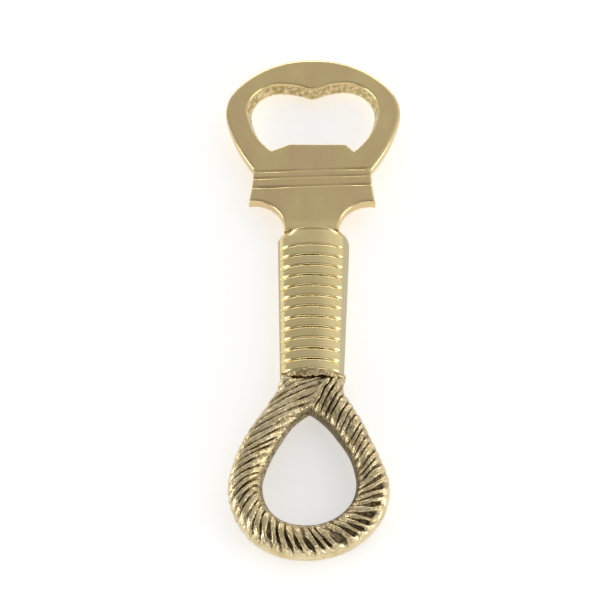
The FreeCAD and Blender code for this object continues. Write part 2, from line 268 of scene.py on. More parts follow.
def inside(points, loop):
    """True for the points inside a closed loop."""
    crossings = np.zeros(len(points), int)
    ends = np.roll(loop, -1, 0)
    x, y = points[:, 0], points[:, 1]
    for (ax, ay), (bx, by) in zip(loop, ends):
        spans = (ay > y) != (by > y)
        if ay != by:
            crossings += spans & (x < (bx - ax) * (y - ay) / (by - ay) + ax)
    return crossings % 2 == 1


def rings(loop, depths, inwards):
    """Copies of a loop's points moved sideways, kept only where they are the full distance away."""
    run = np.roll(loop, -1, 0) - np.roll(loop, 1, 0)
    normal = np.stack([-run[:, 1], run[:, 0]], 1) / np.hypot(*run.T)[:, None] * inwards
    kept = []
    for depth in depths:
        moved = loop + normal * depth
        kept.append(moved[nearest(moved, loop)[0] > depth * 0.97])
    return np.concatenate(kept)


def triangulate(outer, hole, extra):
    """Triangles between an outer loop and a hole, using the extra points. The loops come first."""
    points = np.concatenate([outer, hole, extra])
    n, m = len(outer), len(hole)
    edges = [(i, (i + 1) % n) for i in range(n)]
    edges += [(n + i, n + (i + 1) % m) for i in range(m)]
    made = delaunay_2d_cdt([Vector(p) for p in points], edges, [], 1, 1e-7)
    flat = np.array([v[:] for v in made[0]])
    faces = np.array([f for f in made[2] if len(f) == 3])
    middles = flat[faces].mean(1)
    keep = inside(middles, outer) & ~inside(middles, hole)
    return flat, faces[keep]


def hex_points(low, high, spacing):
    """An even field of points, every other row moved by half the spacing."""
    xs = np.arange(low[0], high[0], spacing)
    ys = np.arange(low[1], high[1], spacing * math.sqrt(0.75))
    x, y = np.meshgrid(xs, ys)
    x[1::2] += spacing / 2
    return np.stack([x.ravel(), y.ravel()], 1)


class Build:
    """Collects vertices and faces in millimetres, then makes one closed, welded mesh."""

    def __init__(self):
        self.verts, self.faces, self.marks, self.count = [], [], [], 0

    def add(self, verts, faces, mark=None):
        self.verts.append(np.asarray(verts, float))
        self.faces += [tuple(int(i) + self.count for i in f) for f in faces]
        self.marks.append(np.zeros(len(verts)) if mark is None else mark)
        self.count += len(verts)

    def add_grid(self, rows, closed=True, mark=None):
        """A sheet of quads through rows of points; closed joins the last column to the first."""
        count = rows.shape[1]
        last = count if closed else count - 1
        faces = []
        for r in range(rows.shape[0] - 1):
            for c in range(last):
                faces.append((r * count + c, r * count + (c + 1) % count,
                              (r + 1) * count + (c + 1) % count, (r + 1) * count + c))
        self.add(rows.reshape(-1, 3), faces, None if mark is None else mark.ravel())

    def piece(self, name, node, material, sharp=40.0, extra=None):
        mesh = bpy.data.meshes.new(name)
        mesh.from_pydata((np.concatenate(self.verts) * MM).tolist(), [], self.faces)
        # the marks carry patina, wear and the sawn-wall look, and on the grip and rope eye also painted
        # shade
        for key, values in {"mark_and_shade": np.concatenate(self.marks), **(extra or {})}.items():
            attribute = mesh.attributes.new(key, "FLOAT", "POINT")
            attribute.data.foreach_set("value", values.astype(np.float32))
        obj = bpy.data.objects.new(name, mesh)
        bpy.context.scene.collection.objects.link(obj)
        bm = bmesh.new()
        bm.from_mesh(mesh)
        bmesh.ops.remove_doubles(bm, verts=bm.verts, dist=WELD * MM)
        bmesh.ops.dissolve_degenerate(bm, edges=bm.edges, dist=1e-7)
        bmesh.ops.recalc_face_normals(bm, faces=bm.faces)
        print(name, "faces", len(bm.faces), "open edges", sum(not e.is_manifold for e in bm.edges))
        bm.to_mesh(mesh)
        bm.free()
        mesh.shade_smooth()
        mesh.set_sharp_from_angle(angle=math.radians(sharp))
        mesh.materials.append(material)
        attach(obj, "root")
        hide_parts(node)
        return obj


# ---- Opener head ---------------------------------------------------------------------------------
def head_right():
    """Right side of the head from crown to tang: list of (points, rounding of that stretch)."""
    crown_centre = (0.0, HEAD_TOP_Y - CROWN_RADIUS)
    lean = math.degrees(math.atan2(SIDE_CENTRE[1] - crown_centre[1], SIDE_CENTRE[0]))
    crown_end = polar(SIDE_CENTRE, SIDE_RADIUS, lean)
    crown_middle = polar(crown_centre, CROWN_RADIUS, (90 + lean) / 2)
    side_middle = polar(SIDE_CENTRE, SIDE_RADIUS, (lean + SIDE_ARC_END) / 2)
    side_end = polar(SIDE_CENTRE, SIDE_RADIUS, SIDE_ARC_END)
    shoulder_radius = SHOULDER_CENTRE[0] - NECK_HALF_WIDTH
    shoulder_middle = polar(SHOULDER_CENTRE, shoulder_radius, SHOULDER_MIDDLE)
    neck_top = (NECK_HALF_WIDTH, SHOULDER_CENTRE[1])
    return [
        (arc_through((0.0, HEAD_TOP_Y), crown_middle, crown_end, 90),
         np.linspace(ROUND_TOP, ROUND_CROWN, 90)),
        (arc_through(crown_end, side_middle, side_end, 48), ROUND_CROWN),
        (arc_through(side_end, bulged_middle(side_end, WAIST, -FLANK_CROWN), WAIST, 64), ROUND_CROWN),
        (arc_through(WAIST, bulged_middle(WAIST, TIP, FLARE_HOLLOW), TIP, 38), ROUND_FLARE),
        (arc_through(TIP, shoulder_middle, neck_top, 52), ROUND_SHOULDER),
        (line_points(neck_top, (NECK_HALF_WIDTH, NECK_FOOT_Y), 3), ROUND_SHOULDER),
        (line_points((NECK_HALF_WIDTH, NECK_FOOT_Y), (TANG_HALF_WIDTH, NECK_FOOT_Y), 8), ROUND_FLARE),
        (line_points((TANG_HALF_WIDTH, NECK_FOOT_Y), (TANG_HALF_WIDTH, TANG_END_Y), 40), ROUND_FLARE),
        (line_points((TANG_HALF_WIDTH, TANG_END_Y), (0.0, TANG_END_Y), 12), ROUND_FLARE),
    ]


def head_outline():
    """Closed outline, clockwise from the crown, with the edge rounding that each point has."""
    runs = head_right()
    right = np.concatenate([points for points, _ in runs])
    rounding = np.concatenate([np.zeros(len(points)) + value for points, value in runs])
    left = right[1:][::-1] * [-1, 1]
    foot = np.array([[0.0, TANG_END_Y]])
    return (np.concatenate([right, foot, left]),
            np.concatenate([rounding, [ROUND_FLARE], rounding[1:][::-1]]))


def opening_outline(shrink):
    """Closed outline of the cap opening, moved inwards by shrink; always the same point count."""
    loops = []
    for side in (1, -1):
        top = (LOBE_CENTRE[0], LOBE_TOP_Y[side] - shrink)
        wide = (OPENING_HALF_WIDTH - shrink, LOBE_CENTRE[1])
        half = math.sqrt(0.5)
        lobe_middle = (top[0] + (wide[0] - top[0]) * half, wide[1] + (top[1] - wide[1]) * half)
        low_side = (OPENING_LOW_SIDE[0] - shrink * LOW_SIDE_NORMAL[0],
                    OPENING_LOW_SIDE[1] + shrink * LOW_SIDE_NORMAL[1])
        notch = (LIP_NOTCH[0], LIP_NOTCH[1] + shrink)
        corner = (LIP_CORNER_X[side], LIP_Y + shrink)
        cusp = (0.0, CUSP_Y - shrink)
        roof_middle = (top[0] / 2, top[1] - (top[1] - cusp[1]) * ROOF_SAG)
        half_loop = np.concatenate([
            arc_through(cusp, roof_middle, top, 36),
            arc_through(top, lobe_middle, wide, 56),
            arc_through(wide, low_side, notch, 56),
            line_points(notch, corner, 12),
            line_points(corner, (0.0, LIP_Y + shrink), 34),
        ])
        near = (half_loop[:, 0] < CUSP_BLEND) & (half_loop[:, 1] > ROOF_Y)
        edge = half_loop[near][-1]
        slope = (edge[1] - half_loop[near][-2][1]) / (edge[0] - half_loop[near][-2][0])
        half_loop[near, 1] = edge[1] + slope * (half_loop[near, 0] ** 2 - edge[0] ** 2) / (2 * edge[0])
        loops.append(half_loop if side == 1 else half_loop[1:][::-1] * [-1, 1])
    return np.concatenate([loops[0], [[0.0, LIP_Y + shrink]], loops[1]])


def groove_offset(points, middle_y):
    """Distance of each point from a groove's centre line, positive above it."""
    return (points[:, 1] - middle_y) * math.cos(GROOVE_SLANT) - points[:, 0] * math.sin(GROOVE_SLANT)


def plate_height(points, outer, rounding, hole):
    """Half thickness of the plate: flat, with rounded rims, grooves and a hand-polished waviness."""
    gap, radius = nearest(points, outer, rounding)
    hole_gap, _ = nearest(points, hole)
    hole_radius = ROUND_LIP + (ROUND_ROOF - ROUND_LIP) * smoothstep(ROOF_Y - 3, ROOF_Y + 3, points[:, 1])
    height = np.full(len(points), FACE_Z)
    swell = smoothstep(NECK_SWELL_TOP_Y, GRIP_TOP_Y - 0.3, points[:, 1])
    height += NECK_SWELL * swell
    tang = points[:, 1] < NECK_FOOT_Y - 0.01
    height[tang] = TANG_HALF_HEIGHT
    for distance, size in ((gap, radius), (hole_gap, hole_radius)):
        short = np.clip(size - distance, 0, size)
        height -= size - np.sqrt(size ** 2 - short ** 2)
    for number, middle_y in enumerate(GROOVE_MIDDLE_Y):
        away = np.abs(groove_offset(points, middle_y)) / GROOVE_HALF_WIDTH
        worn = 0.75 + 0.25 * noise(points[:, 0] * 0.15, np.zeros(len(points)), number)
        worn *= 0.55 + 0.45 * smoothstep(3, 12, np.abs(points[:, 0]))
        height -= GROOVE_DEPTH * worn * np.clip(1 - away, 0, 1) ** 1.2
    height += 0.03 * noise(points[:, 0] * 0.16, points[:, 1] * 0.16, 5)
    height += 0.012 * noise(points[:, 0] * 0.45, points[:, 1] * 0.4, 6)
    return height


def head_points(outer, hole):
    """Points inside the plate: rings on the rounded rims, rows along the grooves, an even fill."""
    steps = 1 - np.cos(np.radians(EDGE_STEPS))
    outer_rings = rings(outer, ROUND_TOP * steps, -1)
    hole_rings = rings(hole, ROUND_ROOF * steps, 1)
    rows = []
    for middle_y in GROOVE_MIDDLE_Y:
        for share in [-row for row in GROOVE_ROWS[:0:-1]] + list(GROOVE_ROWS):
            x = np.arange(-16, 16, 0.35)
            y = middle_y + share * GROOVE_HALF_WIDTH / math.cos(GROOVE_SLANT) + x * math.tan(GROOVE_SLANT)
            rows.append(np.stack([x, y], 1))
    rows = np.concatenate(rows)
    fill = hex_points(HEAD_LOW[:2], HEAD_HIGH[:2], PLATE_GRID)
    for middle_y in GROOVE_MIDDLE_Y:
        fill = fill[np.abs(groove_offset(fill, middle_y)) > 1.5 * GROOVE_HALF_WIDTH]
    loose = np.concatenate([rows, fill])
    loose = loose[inside(loose, outer) & ~inside(loose, hole)]
    loose = loose[(nearest(loose, outer)[0] > ROUND_TOP + 0.1)
                  & (nearest(loose, hole)[0] > ROUND_ROOF + 0.1)]
    outer_rings = outer_rings[inside(outer_rings, outer) & (nearest(outer_rings, hole)[0] > 0.5)]
    hole_rings = hole_rings[~inside(hole_rings, hole)]
    return np.concatenate([outer_rings, hole_rings, loose])


def opener_head(material):
    build = Build()
    outer, rounding = head_outline()
    holes = {1: opening_outline(0.0), -1: opening_outline(OPENING_DRAFT)}
    rim = {}
    for side, hole in holes.items():
        flat, faces = triangulate(outer, hole, head_points(outer, hole))
        round_here = rounding if side == 1 else np.minimum(rounding * BACK_ROUNDING, ROUND_MOST)
        height = plate_height(flat, outer, round_here, hole)
        rim[side] = (height[:len(outer)], height[len(outer):len(outer) + len(hole)])
        build.add(np.column_stack([flat, side * height]), faces[:, ::side])
    outer_rows, hole_rows = [], []
    for share in np.linspace(0, 1, WALL_ROWS):
        z = rim[1][0] * (1 - share) - rim[-1][0] * share
        outer_rows.append(np.column_stack([outer, z]))
        z = rim[1][1] * (1 - share) - rim[-1][1] * share
        loop = holes[1] * (1 - share) + holes[-1] * share
        run = np.roll(loop, -1, 0) - np.roll(loop, 1, 0)
        out = np.stack([run[:, 1], -run[:, 0]], 1) / np.maximum(np.hypot(*run.T), 1e-6)[:, None]
        rough = noise(loop[:, 0] * 1.5 + 3 * share, loop[:, 1] * 1.5, 15)
        rough += 0.6 * noise(loop[:, 0] * 3.1, loop[:, 1] * 3.1 + 5 * share, 16)
        chatter = WALL_ROUGHNESS * rough * (0 < share < 1)
        hole_rows.append(np.column_stack([loop + out * chatter[:, None], z]))
    build.add_grid(np.array(outer_rows), mark=np.full((WALL_ROWS, len(outer)), RIM_MARK))
    wall = np.array(hole_rows)
    sawn = noise(wall[..., 0] * 1.7, wall[..., 1] * 1.7 + wall[..., 2], 9)
    build.add_grid(wall, mark=0.75 + 0.25 * sawn)
    return build.piece("opener_head_cast", "opener_head", material)


# ---- Ribbed grip ---------------------------------------------------------------------------------
def oval(share):
    """Height of the grip's oval section, as a share of its middle, at a share of its half width."""
    return (1 - share ** OVAL_POWER * ALMOST_ONE) ** OVAL_SHOULDER


def grip_rows():
    """Heights of the rows of points up the grip, crowded together in the valleys."""
    valley = RIB_SHOULDER * (1 - np.cos(np.linspace(0, math.pi / 2, 8)))
    rows = []
    for rib in range(RIB_COUNT + 1):
        foot = GRIP_BOTTOM_Y + rib * RIB_PITCH
        if rib > 0:
            rows += list(foot - valley[1:][::-1])
        rows += list(foot + valley)
        if rib < RIB_COUNT:
            rows += list(np.linspace(foot + RIB_SHOULDER, foot + RIB_PITCH - RIB_SHOULDER, 5)[1:-1])
    rows += list(np.linspace(COLLAR_FOOT_Y + RIB_SHOULDER, GRIP_TOP_Y, 34)[1:])
    return np.array(rows)


def valley_depth(y, angle):
    """How deep the valley between two ribs is at each point; it wanders a little, as handwork does."""
    wander = 0.07 * noise(angle * 1.4, np.round((y - GRIP_BOTTOM_Y) / RIB_PITCH) * 3.1, 21)
    shifted = y - wander - GRIP_BOTTOM_Y
    number = np.round(shifted / RIB_PITCH)
    away = np.abs(shifted - np.clip(number, 0, RIB_COUNT) * RIB_PITCH) / RIB_SHOULDER
    deep = RIB_DEPTH * (1 + 0.25 * noise(angle * 0.9 + 7, number * 1.7, 22))
    short = np.clip(1 - away, 0, 1)
    return deep * (1 - np.sqrt(np.clip(1 - short ** 2, 0, 1)))


def ribbed_grip(material):
    y = grip_rows()[:, None]
    angle = np.linspace(0, 2 * math.pi, GRIP_COLUMNS + 1)[None, :-1]
    up = np.clip((y - GRIP_BOTTOM_Y) / (GRIP_TOP_Y - GRIP_BOTTOM_Y), 0, 1)
    half_height = GRIP_HALF_HEIGHT[0] + up * (GRIP_HALF_HEIGHT[1] - GRIP_HALF_HEIGHT[0])
    left = GRIP_LEFT[0] + up * (GRIP_LEFT[1] - GRIP_LEFT[0])
    right = GRIP_RIGHT[0] + up * (GRIP_RIGHT[1] - GRIP_RIGHT[0])
    # the collar rounds down to the neck: evenly on the right, with a crisp corner on the left
    over = np.clip((y - COLLAR_EDGE_Y) / (GRIP_TOP_Y - COLLAR_EDGE_Y), 0, 1)
    tip = np.clip((y - GRIP_TOP_Y + COLLAR_TIP) / COLLAR_TIP, 0, 1)
    half_height = half_height - COLLAR_FALL * over ** 1.1
    half_height = half_height - COLLAR_TIP * (1 - np.sqrt(1 - ALMOST_ONE * tip ** 2))
    over_left = np.clip((y - COLLAR_CORNER_Y) / (GRIP_TOP_Y - COLLAR_CORNER_Y), 0, 1)
    left = left - (left - NECK_HALF_WIDTH - 0.15) * over_left ** 1.3
    right = right - (right - NECK_HALF_WIDTH + 0.85) * (1 - np.sqrt(1 - over ** 2.4 * ALMOST_ONE))
    cosine, sine = np.cos(angle), np.sin(angle)
    reach = np.where(cosine > 0, right, left)
    share = np.abs(cosine)
    fades = [smoothstep(BAND_SHARE[side], BAND_SHARE[side] + BAND_FADE[side], share) for side in (1, -1)]
    fade = 1 - np.where(cosine > 0, *fades)
    valley = valley_depth(y + 0 * angle, angle + 0 * y) * fade
    # pores near the middle of some valleys
    rib = np.round((y - GRIP_BOTTOM_Y) / RIB_PITCH)
    pore = smoothstep(0.0, 0.35, noise(3.2 * angle + 0 * y, rib * 3.7, 24))
    pore = pore * (1 - smoothstep(0.25, 0.4, share)) * smoothstep(0.18, 0.30, valley)
    valley = valley + PORE_DEPTH * pore
    ripple = RIPPLE * np.cos(2 * math.pi * (y - GRIP_BOTTOM_Y) / RIB_PITCH * RIPPLES_PER_RIB)
    valley = valley + ripple * fade * (0.4 + 0.6 * smoothstep(0.55, 0.75, share)) * (y < COLLAR_FOOT_Y)
    x = GRIP_CENTRE_X + np.sign(cosine) * share * (reach - 0.55 * valley)
    z = np.sign(sine) * oval(share) * (half_height - valley)
    rows = np.stack([x, y + 0 * x, z], 2)
    build = Build()
    # painted shade: the deep valleys, the pores and the collar foot are darkened; the worn side bands go
    # paler
    mark = np.maximum(0.8 * smoothstep(0.30, 0.5, valley), 0.95 * smoothstep(*COLLAR_SHADE_Y, y))
    mark = np.maximum(mark, 1.2 * pore) - BAND_MARK * (1 - fade) * (y < 16.0)
    build.add_grid(rows, mark=mark)
    for row in (rows[0], rows[-1]):
        centre = row.mean(0)
        inner = centre + (row - centre) * 0.5
        build.add_grid(np.array([row, inner]), mark=np.full((2, len(row)), 1.0))
        build.add(np.vstack([inner, centre]),
                  [(i, (i + 1) % len(inner), len(inner)) for i in range(len(inner))])
    return build.piece("ribbed_grip_cast", "ribbed_grip", material, sharp=60)


# ---- Rope eye ------------------------------------------------------------------------------------
def rope_line():
    """Centre line of the rope, from the left of the throat round the eye to the right."""
    bottom = (0.0, BOTTOM_CENTRE_Y)
    bend = polar(bottom, BOTTOM_RADIUS - BEND_RADIUS, BOTTOM_ARC_END)
    leg = polar(bend, BEND_RADIUS - LEG_RADIUS, BEND_ARC_END)
    half = []
    for centre, radius, first, last in ((bottom, BOTTOM_RADIUS, -90, BOTTOM_ARC_END),
                                        (bend, BEND_RADIUS, BOTTOM_ARC_END, BEND_ARC_END),
                                        (leg, LEG_RADIUS, BEND_ARC_END, LEG_ARC_END)):
        count = round(math.radians(last - first) * radius / ROPE_STEP)
        half += [polar(centre, radius, first + (last - first) * i / count) for i in range(count)]
    foot = np.array(polar(leg, LEG_RADIUS, LEG_ARC_END))
    way = np.array(polar((0.0, 0.0), 1.0, LEG_ARC_END + 90))
    count = round((GRIP_BOTTOM_Y - foot[1]) / way[1] / ROPE_STEP)
    half += [tuple(foot + way * ROPE_STEP * i) for i in range(count)]
    right = np.array(half)
    return np.concatenate([right[1:][::-1] * [-1, 1], right])


def side_of(line):
    """Unit vector to the outer side of the eye at each point of its centre line."""
    run = np.gradient(line, axis=0)
    return np.stack([run[:, 1], -run[:, 0]], 1) / np.hypot(*run.T)[:, None]


def lump(points, place, size):
    """A soft round patch: 1 in the middle, fading out at about its size."""
    return np.exp(-((points - np.array(place)) ** 2).sum(1) / size ** 2)


def eye_outlines(line):
    """Outer outline, closed across the top of the throat, and the inner teardrop."""
    outwards = side_of(line)
    sag = FOOT_SAG * lump(line, FOOT_PLACE, FOOT_SIZE)[:, None]
    slim = LEG_SLIM * lump(line, LEG_PLACE, LEG_SIZE)[:, None]
    edge = line + outwards * (ROPE_RADIUS + sag - slim)
    edge = edge[edge[:, 1] < THROAT_FOOT_Y]
    throat = []
    for side, foot in ((-1, edge[0]), (1, edge[-1])):
        top = (side * THROAT_HALF_WIDTH + THROAT_OFFSET_X, GRIP_BOTTOM_Y + THROAT_OVERLAP)
        middle = bulged_middle(tuple(foot), top, 0.3 * side)
        throat.append(arc_through(tuple(foot), middle, top, 20))
    ends = [(side * THROAT_HALF_WIDTH + THROAT_OFFSET_X, GRIP_BOTTOM_Y + THROAT_OVERLAP)
            for side in (1, -1)]
    outer = np.concatenate([edge[:-1], throat[1], line_points(*ends, 40), throat[0][1:][::-1]])
    inner_edge = line - outwards * (ROPE_RADIUS - sag - slim * 0.95)
    inner_edge = inner_edge[inner_edge[:, 1] < CROTCH_END[1]]
    sides = []
    for side, end in ((-1, inner_edge[0]), (1, inner_edge[-1])):
        through = (side * CROTCH_SIDE[0], CROTCH_SIDE[1])
        sides.append(arc_through((0.0, APEX_Y), through, tuple(end), 34))
    inner = np.concatenate([sides[0], inner_edge, sides[1][1:][::-1]])
    return outer, inner


def seam_line(points):
    """Where the two legs meet, at the height of each point."""
    return SEAM_LEAN * np.clip(points[:, 1] - APEX_Y, 0, None)


def along_rope(points, line):
    """For each point: length along the rope, distance outwards from its centre line, way outwards."""
    run = np.diff(line, axis=0)
    length = np.concatenate([[0], np.cumsum(np.hypot(*run.T))])
    outwards = side_of(line)
    travelled = np.empty(len(points))
    aside = np.empty(len(points))
    outer_way = np.empty((len(points), 2))
    seam_x = seam_line(points)
    left_leg = line[:, 0] < 0
    for first in range(0, len(points), CHUNK):
        part = points[first:first + CHUNK]
        gap = ((part[:, None, :] - line) ** 2).sum(2)
        on_left = part[:, 0] < seam_x[first:first + CHUNK]
        high = part[:, 1] > BOTTOM_CENTRE_Y
        gap += 1e4 * ((on_left[:, None] != left_leg) & high[:, None])
        pick = gap.argmin(1)
        off = part - line[pick]
        aside[first:first + CHUNK] = (off * outwards[pick]).sum(1)
        way = np.stack([-outwards[pick, 1], outwards[pick, 0]], 1)
        travelled[first:first + CHUNK] = length[pick] + (off * way).sum(1)
        outer_way[first:first + CHUNK] = outwards[pick]
    return travelled, aside, outer_way, length[-1]


def strand_lay(share):
    """Angle between the strands and the rope's line, at a share of the rope's length."""
    return np.radians(LAY_LEFT + (LAY_REST - LAY_LEFT) * smoothstep(0.14, 0.36, share))


def strands(points, travelled, aside, wound, total):
    """Depth of the cast strands, and how dark the hollow is, at each point of one face.

    The strands run on round the outer side of the rope, from one face to the other: wound is the
    distance outwards measured on over the outer side.
    """
    share = travelled / total
    lay = strand_lay(share)
    across = travelled - wound / np.tan(lay)
    bottom = smoothstep(0.34, 0.46, share) * (1 - smoothstep(0.66, 0.78, share))
    # strands are numbered by adding up their spacing, which changes along the rope
    table = np.linspace(-6 * ROPE_RADIUS, total + 6 * ROPE_RADIUS, 4000)
    spacing = STRAND_SPACING + STRAND_WIDER * smoothstep(0.3, 0.42, table / total)
    spacing = spacing - STRAND_NARROWER * smoothstep(0.66, 0.8, table / total)
    numbers = np.cumsum((table[1] - table[0]) * np.sin(strand_lay(table / total)) / spacing)
    first = np.interp(-ROPE_RADIUS / math.tan(math.radians(LAY_LEFT)), table, numbers)
    count = np.interp(across, table, numbers) - first
    count += 0.30 * noise(count * 0.7, wound * 0.10, 31)
    count += 0.14 * noise(count * 1.3, wound * 0.45, 33)
    number = np.floor(count)
    chance = lattice(number, 0 * number, 41)
    off_centre = np.abs(count - number - 0.5) * 2
    fibre_way = wound / np.sin(lay)
    # between the thin ridges round the bottom there are deep square pits
    pits = bottom * smoothstep(-0.9, 0.9, aside + 0.9 * (chance - 0.5))
    pits *= 1 - smoothstep(2.55, 2.95, aside + 0.4 * (chance - 0.5))
    open_share = 0.28 + 0.12 * (2 * chance - 1) + 0.22 * pits
    valley = smoothstep(1 - open_share * 1.5, 1.0 - open_share * 0.35, off_centre)
    broken = smoothstep(-0.35, 0.35, noise(count * 0.9, fibre_way * 0.55, 57))
    valley = valley * (0.45 + 0.55 * np.maximum(broken, pits))
    lift = 0.26 * (lattice(number, 0 * number, 47) - 0.4)
    fine = count * 2.6 + 0.6 * noise(count * 2.1, fibre_way * 0.35, 51)
    fibres = 1 - np.abs(2 * (fine - np.floor(fine)) - 1) ** 1.5
    fibres *= 0.35 + 0.65 * (0.5 + 0.5 * noise(count * 1.7, fibre_way * 0.6, 53))
    rough = noise(count * 7.9, fibre_way * 2.2, 59)
    lumps = noise(points[:, 0] * 1.3, points[:, 1] * 1.3, 61)
    depth = 0.36 * valley * (1 + 1.2 * pits) + 0.34 * off_centre ** 2 - lift
    depth += 0.16 * (1 - fibres) + 0.04 * rough + 0.06 * lumps
    dull = noise(points[:, 0] * 0.22, points[:, 1] * 0.22, 67)
    # darker patches on the right leg and under the crotch
    patch_darkening = sum(lump(points, place, size) for place, size in DARK_PATCHES) * (0.6 + 0.4 * rough)
    dark = 0.70 * valley + 0.40 * (1 - fibres) + 0.2 * off_centre ** 2 - 0.12
    dark += 0.14 * rough + 0.2 * dull + 0.55 * patch_darkening
    return depth, np.clip(dark, 0, 1), bottom, count, fibre_way


def rope_loop(material):
    line = rope_line()
    outer, inner = eye_outlines(line)
    seam = outer[:, 1] > GRIP_BOTTOM_Y + 0.15
    steps = ROPE_RADIUS * (1 - np.cos(np.radians(ROPE_RINGS)))
    ring_points = np.concatenate([rings(outer, steps, 1), rings(inner, steps, -1)])
    fill = hex_points(LOOP_LOW[:2], np.array([LOOP_HIGH[0], GRIP_BOTTOM_Y + 0.2]), ROPE_GRID)
    fill = fill[inside(fill, outer) & ~inside(fill, inner)]
    fill = fill[(nearest(fill, outer)[0] > steps[-1] + 0.1) & (nearest(fill, inner)[0] > steps[-1] + 0.1)]
    ring_points = ring_points[inside(ring_points, outer) & ~inside(ring_points, inner)]
    flat, faces = triangulate(outer, inner, np.concatenate([ring_points, fill]))
    rim = nearest(flat, outer, seam.astype(float))
    side_gap = nearest(flat, outer[~seam])[0]
    outer_gap = np.where(rim[1] > 0, side_gap, rim[0])
    inner_gap = nearest(flat, inner)[0]
    travelled, aside, outer_way, total = along_rope(flat, line)
    on_rim = np.arange(len(flat)) < len(outer) + len(inner)
    on_top = on_rim & (rim[1] > 0) & (rim[0] < 1e-6) & (side_gap > 0.01)
    reach = np.clip(np.minimum(outer_gap, inner_gap), 0, ROPE_RADIUS)
    height = np.sqrt(np.clip(ROPE_RADIUS ** 2 - (ROPE_RADIUS - reach) ** 2, 0, None))
    slope = (ROPE_RADIUS - reach) / ROPE_RADIUS * np.where(outer_gap < inner_gap, 1, -1)
    closed = 1 - smoothstep(0.2, 1.0, np.abs(flat[:, 0] - seam_line(flat)))
    closed = closed * (flat[:, 1] > APEX_Y)
    # painted shade on the eye's inner walls, darker on the right side
    wall = (1 - smoothstep(0.3, 1.4, inner_gap)) * (0.55 + 0.4 * smoothstep(-2.0, 5.0, flat[:, 0]))
    build = Build()
    counts, ways, skins = [], [], []
    for face in (1, -1):
        wound = aside if face == 1 else aside + 2 * outer_gap
        depth, dark, bottom, count, way = strands(flat, travelled, aside, wound, total)
        counts.append(count)
        ways.append(way)
        edge = 0.55 + 0.45 * smoothstep(0.1, 0.9, outer_gap)
        edge = edge * (1 - bottom) + smoothstep(0.3, 0.9, outer_gap) * bottom
        shown = edge * smoothstep(0.35, 1.2, inner_gap) * (1 - 0.7 * closed)
        inwards = -(depth * shown * slope)[:, None] * outer_way
        inwards[on_rim & (rim[1] > 0)] = 0
        shape = np.minimum(height - depth * shown * height / ROPE_RADIUS, ROPE_FACE)
        shape[on_rim & ~on_top] = 0
        skins.append(np.column_stack([flat + inwards, face * shape]))
        build.add(skins[-1], faces[:, ::face], np.maximum(dark * shown, wall))
    # the cut across the top of the throat, inside the bead
    top = np.flatnonzero(on_top)
    top = np.concatenate([top[:1] - 1, top, top[-1:] + 1])
    build.add_grid(np.array([skins[1][top], skins[0][top]]), closed=False, mark=np.full((2, len(top)), 0.5))
    counts += [count[top]] * 2
    ways += [way[top]] * 2
    return build.piece("rope_loop_cast", "rope_loop", material, sharp=70,
                       extra={"strand": np.concatenate(counts), "strand_way": np.concatenate(ways)})


# ---- Braze bead ----------------------------------------------------------------------------------
def seam_bead(material):
    around = np.linspace(0, 2 * math.pi, BEAD_COLUMNS + 1)[:-1]
    half_width = (BEAD_HIGH[0] - BEAD_LOW[0]) / 2 - BEAD_SINK[0]
    half_height = BEAD_HIGH[2] - BEAD_SINK[1]
    cosine, sine = np.cos(around), np.sin(around)
    crown = np.sign(sine) * oval(np.abs(cosine))
    rows = []
    for turn in np.linspace(0, 2 * math.pi, BEAD_ROWS + 1)[:-1]:
        swell = BEAD_RADIUS + 0.25 * noise(around * 5.0, 2 * math.cos(turn) + 0 * around, 71)
        swell += 0.22 * noise(around * 17.0, 3 * math.sin(turn) + 0 * around, 72)
        out = swell * math.cos(turn)
        x = GRIP_CENTRE_X + cosine * (half_width + out)
        z = crown * (half_height + out)
        middle_y = GRIP_BOTTOM_Y - BEAD_DROP + 0.2 * noise(around * 4.0, 0 * around, 73)
        y = middle_y + swell * BEAD_BREADTH * math.sin(turn)
        rows.append(np.stack([x, y, z], 1))
    build = Build()
    grid = np.array(rows + rows[:1])
    build.add_grid(grid, mark=0.1 + 0.4 * noise(grid[..., 0] * 1.5, grid[..., 1] * 3, 74))
    return build.piece("seam_bead_braze", "seam_bead", material, sharp=180)


